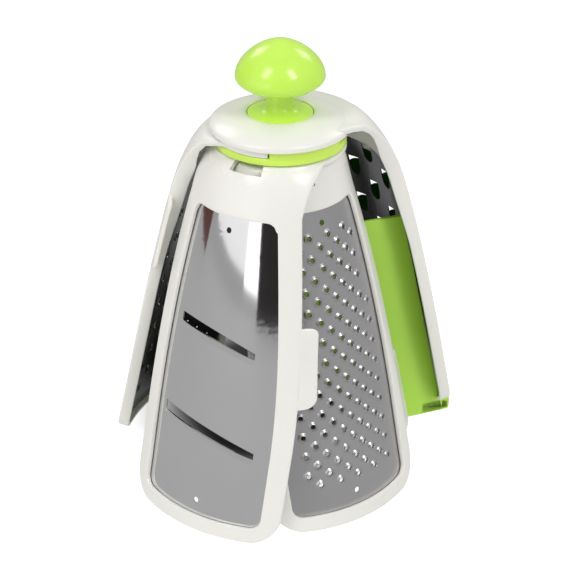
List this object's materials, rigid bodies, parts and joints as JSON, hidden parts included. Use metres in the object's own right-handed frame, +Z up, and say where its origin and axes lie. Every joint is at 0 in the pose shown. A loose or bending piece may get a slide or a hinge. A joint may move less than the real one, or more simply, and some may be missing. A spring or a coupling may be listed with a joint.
{
  "type": "rotary cheese grater",
  "caption": "Free-standing cone-shaped cheese grater: curved steel-faced leaves fan out round one spindle and fold together, with a mushroom knob on top.",
  "frame": {"origin": "middle of the open grater's footprint, on the surface that it stands on", "axes": "+Z up along the spindle, -Y the side with the slicing leaf and the fine grating leaf"},
  "size_m": [0.191, 0.1774, 0.2391],
  "materials": {
    "white_plastic": "glossy moulded ABS",
    "green_plastic": "glossy moulded ABS",
    "polished_steel": "polished stainless sheet",
    "steel_hardware": "plain",
    "brass": "knurled insert"
  },
  "bodies": {
    "coarse_leaf": {"coarse_frame": "white_plastic", "coarse_plate": "polished_steel", "storage_guard": "green_plastic", "hub_collar": "green_plastic", "upper_thrust_washer": "steel_hardware", "wave_spring": "steel_hardware", "lower_thrust_washer": "steel_hardware"},
    "fine_leaf": {"fine_frame": "white_plastic", "fine_plate": "polished_steel"},
    "slicer_leaf": {"slicer_frame": "white_plastic", "slicer_plate": "polished_steel"},
    "grate_leaf": {"grate_frame": "white_plastic", "grate_plate": "polished_steel"},
    "knob": {"knob_cap": "green_plastic", "knob_spool": "green_plastic", "knob_insert": "brass", "spindle_bolt": "steel_hardware", "bolt_washer": "steel_hardware", "retainer_cup": "green_plastic"}
  },
  "joints": [
    {"name": "fine_fold", "type": "hinge", "parent": "coarse_leaf", "child": "fine_leaf", "pos_m": [-0.0026, -0.00365, 0.19], "axis": [0, 0, 1], "range_deg": [-77, 0]},
    {"name": "slicer_fold", "type": "hinge", "parent": "coarse_leaf", "child": "slicer_leaf", "pos_m": [-0.0026, -0.00365, 0.19], "axis": [0, 0, 1], "range_deg": [-158, 0]},
    {"name": "grate_fold", "type": "hinge", "parent": "coarse_leaf", "child": "grate_leaf", "pos_m": [-0.0026, -0.00365, 0.19], "axis": [0, 0, 1], "range_deg": [-198, 0]},
    {"name": "knob_turn", "type": "hinge", "parent": "coarse_leaf", "child": "knob", "pos_m": [-0.0026, -0.00365, 0.21], "axis": [0, 0, 1], "continuous": true}
  ]
}
